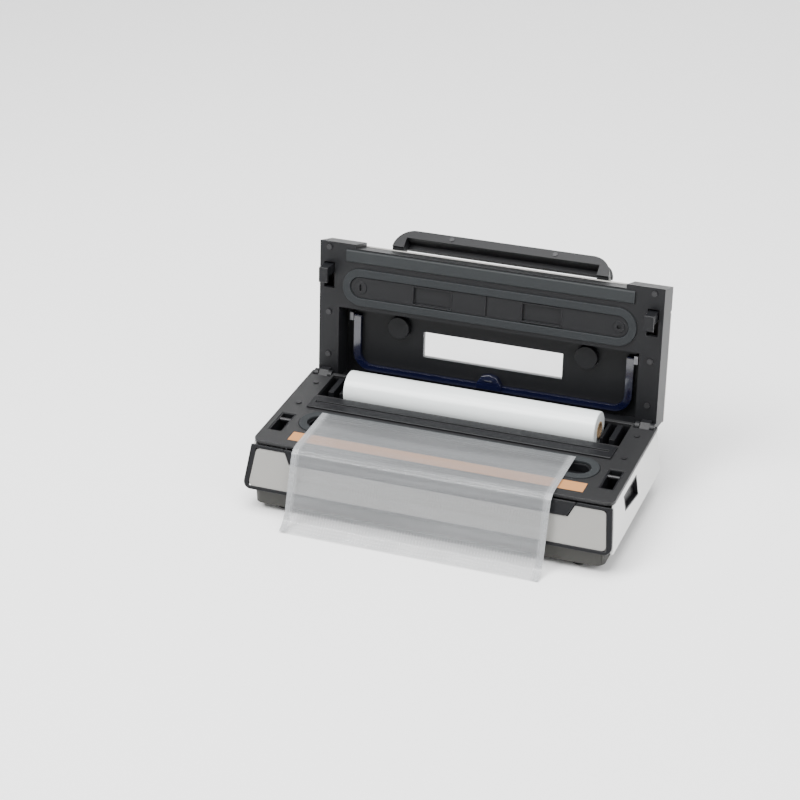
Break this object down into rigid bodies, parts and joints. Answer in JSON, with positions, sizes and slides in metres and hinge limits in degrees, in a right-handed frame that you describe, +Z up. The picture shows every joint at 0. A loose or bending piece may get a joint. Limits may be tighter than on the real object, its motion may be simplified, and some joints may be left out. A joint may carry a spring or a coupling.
{
  "type": "vacuum sealer",
  "caption": "Countertop vacuum sealer with a hinged lid, roll bay and bag roll, sliding bag cutter, gasketed chamber, heat-seal line, locking handle and latch hooks.",
  "frame": {"origin": "centre of the bounding box's footprint, on the table, with the lid open", "axes": "+X to the right seen from the front, +Y to the hinge side at the rear, +Z up"},
  "size_m": [0.4, 0.2974, 0.2188],
  "materials": {
    "black_plastic": "moulded, fine texture",
    "deck_plastic": "moulded, satin",
    "silver_paint": "silver, satin",
    "white_shell": "moulded, light grey",
    "grey_tray": "moulded",
    "gasket_foam": "closed-cell foam",
    "press_rubber": "silicone strip",
    "foot_rubber": "soft",
    "hose_rubber": "soft",
    "seal_tape": "woven, coated",
    "steel": "ground",
    "dark_steel": "black zinc plated",
    "bright_steel": "plated",
    "blue_black_gloss": "glossy dark blue",
    "clear_pane": "clear",
    "bag_film": "clear film with fine embossing",
    "roll_film": "wound film",
    "card": "wound card",
    "board_green": "lacquered board",
    "part_black": "moulded",
    "motor_steel": "rolled",
    "core_iron": "laminated",
    "button_grey": "satin",
    "lamp_green": "translucent"
  },
  "bodies": {
    "base": {"base_tray": "grey_tray", "feet": "foot_rubber", "top_deck": "deck_plastic", "front_lip": "black_plastic", "front_fascia": "silver_paint", "fascia_frame": "black_plastic", "side_panel_left": "white_shell", "side_panel_right": "white_shell", "side_grips": "black_plastic", "rear_cover": "black_plastic", "mains_inlet": "part_black", "seal_block": "black_plastic", "heating_wire": "bright_steel", "seal_tape": "seal_tape", "lower_gasket": "gasket_foam", "vacuum_trough": "black_plastic", "film_guide": "black_plastic", "roll_bay": "black_plastic", "roll_holders": "black_plastic", "bag_film": "bag_film", "latch_pockets": "black_plastic", "catch_bars": "dark_steel", "hinge_brackets": "black_plastic", "hinge_pins": "steel", "pump_motor": "motor_steel", "pump_head": "part_black", "pump_mount": "hose_rubber", "vacuum_hose": "hose_rubber", "transformer": "core_iron", "power_board": "board_green", "board_parts": "part_black", "lid_switch": "part_black", "deck_screws": "dark_steel"},
    "lid": {"lid_inner_frame": "black_plastic", "lid_outer_cover": "silver_paint", "window_pane": "clear_pane", "upper_gasket": "gasket_foam", "press_bar": "press_rubber", "chamber_panel": "black_plastic", "roll_bumpers": "black_plastic", "lid_screws": "dark_steel", "control_panel": "part_black", "indicator_lamps": "lamp_green", "control_board": "board_green", "handle_pivots": "steel", "bail_pivots": "steel"},
    "roll": {"bag_roll": "roll_film", "roll_core": "card"},
    "vacuum_key": {"vacuum_button": "button_grey"},
    "seal_key": {"seal_button": "button_grey"},
    "stop_key": {"stop_button": "button_grey"},
    "handle": {"handle_grip": "black_plastic", "handle_cover": "black_plastic", "handle_screws": "dark_steel"},
    "latch": {"latch_shaft": "steel", "latch_hook_left": "black_plastic", "latch_hook_right": "black_plastic"},
    "bail": {"cutter_bail": "blue_black_gloss"},
    "cutter": {"cutter_slider": "blue_black_gloss", "cutter_blade": "bright_steel"}
  },
  "joints": [
    {"name": "lid_hinge", "type": "hinge", "parent": "base", "child": "lid", "pos_m": [0, 0.05833, 0.071], "axis": [1, 0, 0], "range_deg": [0, 98.8]},
    {"name": "roll_spin", "type": "hinge", "parent": "base", "child": "roll", "pos_m": [0, 0.03208, 0.075], "axis": [1, 0, 0], "continuous": true},
    {"name": "handle_pivot", "type": "hinge", "parent": "lid", "child": "handle", "pos_m": [0, 0.12194, 0.19624], "axis": [-1, 0, 0], "range_deg": [0, 112]},
    {"name": "latch_pivot", "type": "hinge", "parent": "lid", "child": "latch", "pos_m": [0, 0.09349, 0.18699], "axis": [1, 0, 0], "range_deg": [0, 16]},
    {"name": "bail_swing", "type": "hinge", "parent": "lid", "child": "bail", "pos_m": [0, 0.09596, 0.12842], "axis": [1, 0, 0], "range_deg": [-70, 0]},
    {"name": "cutter_slide", "type": "slide", "parent": "bail", "child": "cutter", "axis": [1, 0, 0], "range_m": [-0.118, 0.118]},
    {"name": "vacuum_key_press", "type": "slide", "parent": "lid", "child": "vacuum_key", "axis": [0, -0.9882, 0.153], "range_m": [0, 0.0012], "stiffness_N_per_m": 300, "springref_m": -0.0005},
    {"name": "seal_key_press", "type": "slide", "parent": "lid", "child": "seal_key", "axis": [0, -0.9882, 0.153], "range_m": [0, 0.0012], "stiffness_N_per_m": 300, "springref_m": -0.0005},
    {"name": "stop_key_press", "type": "slide", "parent": "lid", "child": "stop_key", "axis": [0, -0.9882, 0.153], "range_m": [0, 0.0012], "stiffness_N_per_m": 300, "springref_m": -0.0005}
  ],
  "couplings": [
    {"joint": "latch_pivot", "follows": "handle_pivot", "ratio": 0.14286}
  ]
}
